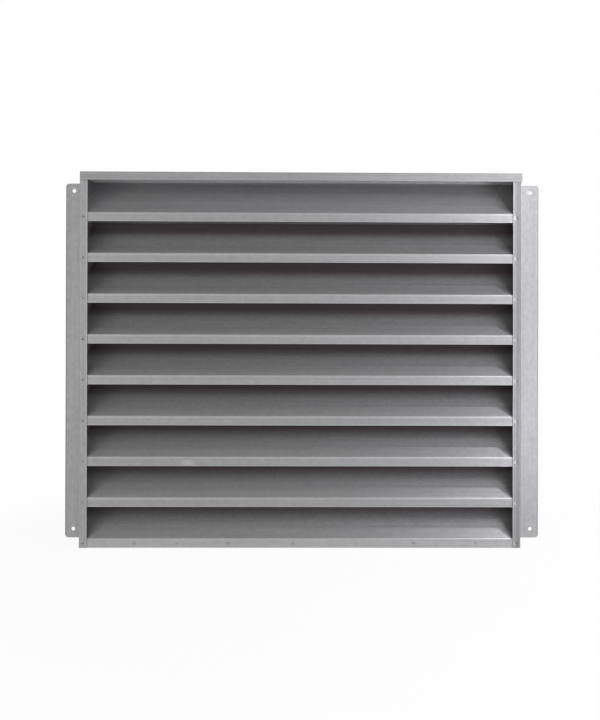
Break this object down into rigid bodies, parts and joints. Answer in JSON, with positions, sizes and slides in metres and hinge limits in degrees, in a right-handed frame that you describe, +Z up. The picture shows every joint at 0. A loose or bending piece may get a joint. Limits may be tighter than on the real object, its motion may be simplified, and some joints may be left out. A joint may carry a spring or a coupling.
{
  "type": "fixed exhaust fan louver",
  "caption": "Rectangular sheet-steel louver for an exhaust fan opening: spot-welded frame with side mounting flanges and fixed sloping blades that shed rain while air passes.",
  "frame": {"origin": "centre of the four wall holes, on the rear face of the side flanges", "axes": "+X to the viewer's right, +Y into the wall, +Z up; the louver's front looks along -Y"},
  "size_m": [0.68, 0.051, 0.51],
  "materials": {
    "frame_steel": "bare rolled steel sheet, satin",
    "blade_steel": "bare rolled steel sheet, satin"
  },
  "bodies": {
    "root": {"top_rail": "frame_steel", "bottom_rail": "frame_steel", "left_jamb": "frame_steel", "right_jamb": "frame_steel", "louver_blade_1": "blade_steel", "louver_blade_2": "blade_steel", "louver_blade_3": "blade_steel", "louver_blade_4": "blade_steel", "louver_blade_5": "blade_steel", "louver_blade_6": "blade_steel", "louver_blade_7": "blade_steel", "louver_blade_8": "blade_steel", "louver_blade_9": "blade_steel"}
  },
  "joints": []
}
